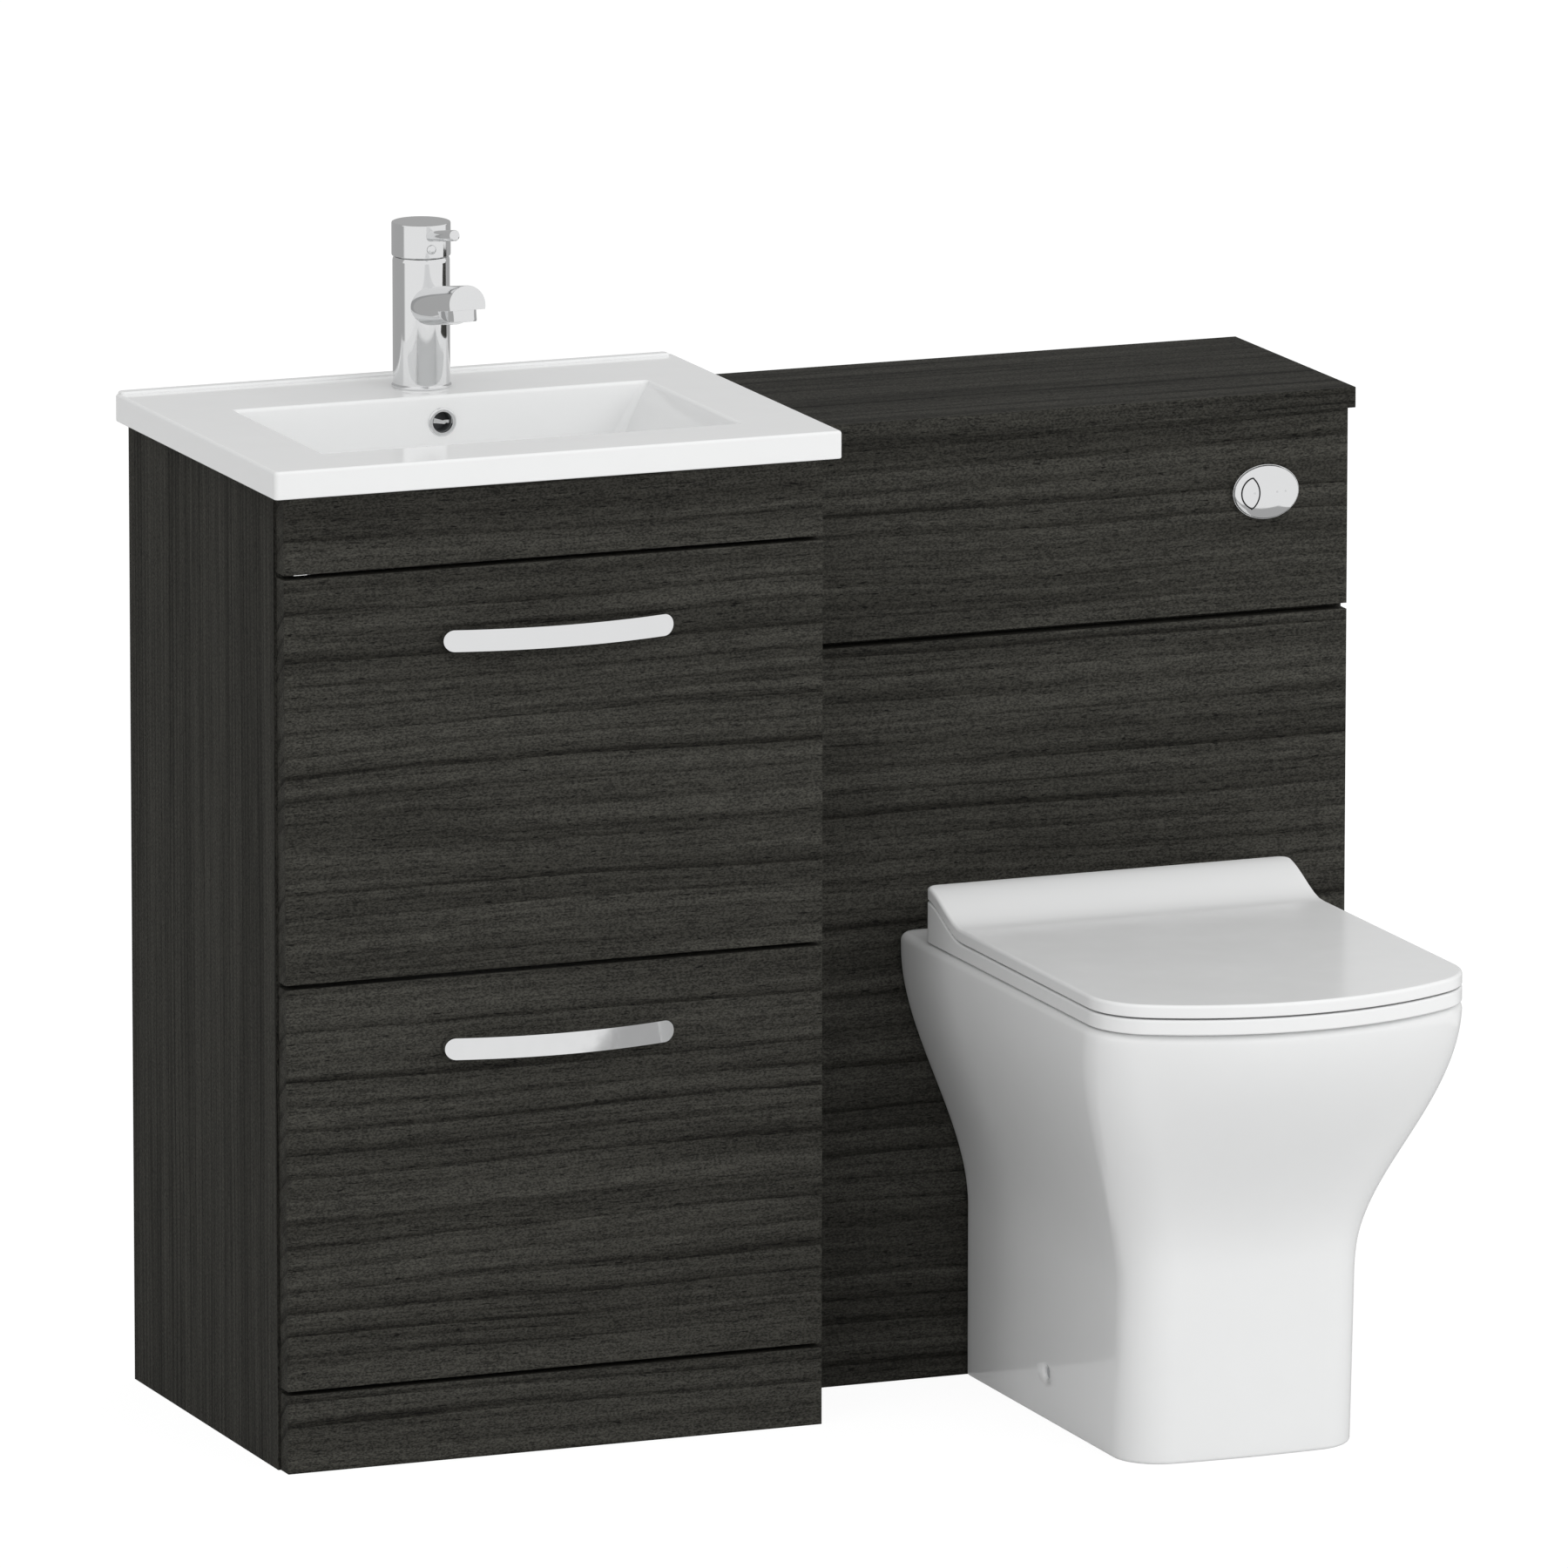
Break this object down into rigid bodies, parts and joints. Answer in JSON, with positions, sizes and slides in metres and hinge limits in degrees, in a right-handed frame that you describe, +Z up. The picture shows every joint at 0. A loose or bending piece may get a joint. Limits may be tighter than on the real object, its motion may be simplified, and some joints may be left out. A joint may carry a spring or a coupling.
{
  "type": "toilet and basin combination unit",
  "caption": "Bathroom unit that joins a drawer vanity with inset basin and mixer tap to a back-to-wall toilet with concealed cistern, seat and lid.",
  "frame": {"origin": "centre of the unit's footprint on the floor", "axes": "+X to the user's right along the wall, +Y into the wall, +Z up"},
  "size_m": [1.039, 0.7516, 1.0118],
  "materials": {
    "woodgrain": "charcoal woodgrain laminate",
    "carcass_board": "charcoal woodgrain laminate",
    "drawer_board": "pale grey melamine",
    "glazed_ceramic": "white glaze",
    "seat_plastic": "white gloss moulding",
    "chrome": "polished chrome",
    "steel": "zinc plated steel",
    "brass": "machined brass",
    "white_plastic": "white plastic",
    "dark_plastic": "dark grey plastic"
  },
  "bodies": {
    "unit": {"vanity_side_left": "carcass_board", "vanity_side_right": "carcass_board", "vanity_base": "carcass_board", "vanity_back_rails": "carcass_board", "vanity_top_front": "woodgrain", "vanity_plinth": "woodgrain", "basin": "glazed_ceramic", "overflow_ring": "chrome", "waste_body": "chrome", "bottle_trap": "white_plastic", "tap_body": "chrome", "tap_aerator": "chrome", "tap_cartridge": "chrome", "tap_fixing": "brass", "upper_runner_outers": "steel", "lower_runner_outers": "steel", "wc_side_left": "carcass_board", "wc_side_right": "carcass_board", "wc_rails": "carcass_board", "wc_lower_fascia": "woodgrain", "wc_upper_fascia": "woodgrain", "wc_worktop": "woodgrain", "cistern_tank": "white_plastic", "cistern_lid": "white_plastic", "fill_valve": "white_plastic", "flush_valve": "white_plastic", "flush_pipe": "white_plastic", "flush_collar": "chrome", "pan": "glazed_ceramic", "soil_connector": "white_plastic", "pan_fixings": "steel", "seat_hinges": "chrome"},
    "plug": {"waste_plug": "chrome"},
    "tap_turn": {"tap_stem": "steel"},
    "tap_handle": {"tap_cap": "chrome", "tap_lever": "chrome", "tap_indicator": "white_plastic"},
    "upper_drawer": {"upper_drawer_front": "woodgrain", "upper_drawer_box": "drawer_board", "upper_drawer_base": "drawer_board", "upper_handle": "chrome", "upper_handle_screws": "steel", "upper_runner_inners": "steel"},
    "upper_slides": {"upper_runner_mids": "steel"},
    "lower_drawer": {"lower_drawer_front": "woodgrain", "lower_drawer_box": "drawer_board", "lower_drawer_base": "drawer_board", "lower_handle": "chrome", "lower_handle_screws": "steel", "lower_runner_inners": "steel"},
    "lower_slides": {"lower_runner_mids": "steel"},
    "float": {"fill_float": "dark_plastic"},
    "bell": {"flush_bell": "dark_plastic"},
    "full_button": {"flush_full_button": "chrome"},
    "half_button": {"flush_half_button": "chrome"},
    "seat": {"seat": "seat_plastic", "seat_buffers": "dark_plastic"},
    "lid": {"lid": "seat_plastic", "lid_buffers": "white_plastic"}
  },
  "joints": [
    {"name": "plug_slide", "type": "slide", "parent": "unit", "child": "plug", "axis": [0, 0, 1], "range_m": [0, 0.01]},
    {"name": "tap_temperature", "type": "hinge", "parent": "unit", "child": "tap_turn", "pos_m": [-0.2645, 0.312, 0.9775], "axis": [0, 0, 1], "range_deg": [-50, 50]},
    {"name": "tap_flow", "type": "hinge", "parent": "tap_turn", "child": "tap_handle", "pos_m": [-0.2645, 0.3335, 0.9785], "axis": [-1, 0, 0], "range_deg": [0, 15]},
    {"name": "upper_drawer_slide", "type": "slide", "parent": "unit", "child": "upper_drawer", "axis": [0, -1, 0], "range_m": [0, 0.28]},
    {"name": "upper_runner_slide", "type": "slide", "parent": "unit", "child": "upper_slides", "axis": [0, -1, 0], "range_m": [0, 0.14]},
    {"name": "lower_drawer_slide", "type": "slide", "parent": "unit", "child": "lower_drawer", "axis": [0, -1, 0], "range_m": [0, 0.28]},
    {"name": "lower_runner_slide", "type": "slide", "parent": "unit", "child": "lower_slides", "axis": [0, -1, 0], "range_m": [0, 0.14]},
    {"name": "float_slide", "type": "slide", "parent": "unit", "child": "float", "axis": [0, 0, 1], "range_m": [0, 0.06]},
    {"name": "bell_slide", "type": "slide", "parent": "unit", "child": "bell", "axis": [0, 0, 1], "range_m": [0, 0.015]},
    {"name": "full_flush_press", "type": "slide", "parent": "unit", "child": "full_button", "axis": [0, 1, 0], "range_m": [0, 0.004], "stiffness_N_per_m": 400},
    {"name": "half_flush_press", "type": "slide", "parent": "unit", "child": "half_button", "axis": [0, 1, 0], "range_m": [0, 0.004], "stiffness_N_per_m": 400},
    {"name": "seat_hinge", "type": "hinge", "parent": "unit", "child": "seat", "pos_m": [0.2705, 0.064, 0.42], "axis": [-1, 0, 0], "range_deg": [0, 93]},
    {"name": "lid_hinge", "type": "hinge", "parent": "seat", "child": "lid", "pos_m": [0.2705, 0.064, 0.42], "axis": [1, 0, 0], "range_deg": [-95, 0]}
  ],
  "couplings": [
    {"joint": "upper_runner_slide", "follows": "upper_drawer_slide", "ratio": 0.5},
    {"joint": "lower_runner_slide", "follows": "lower_drawer_slide", "ratio": 0.5}
  ]
}
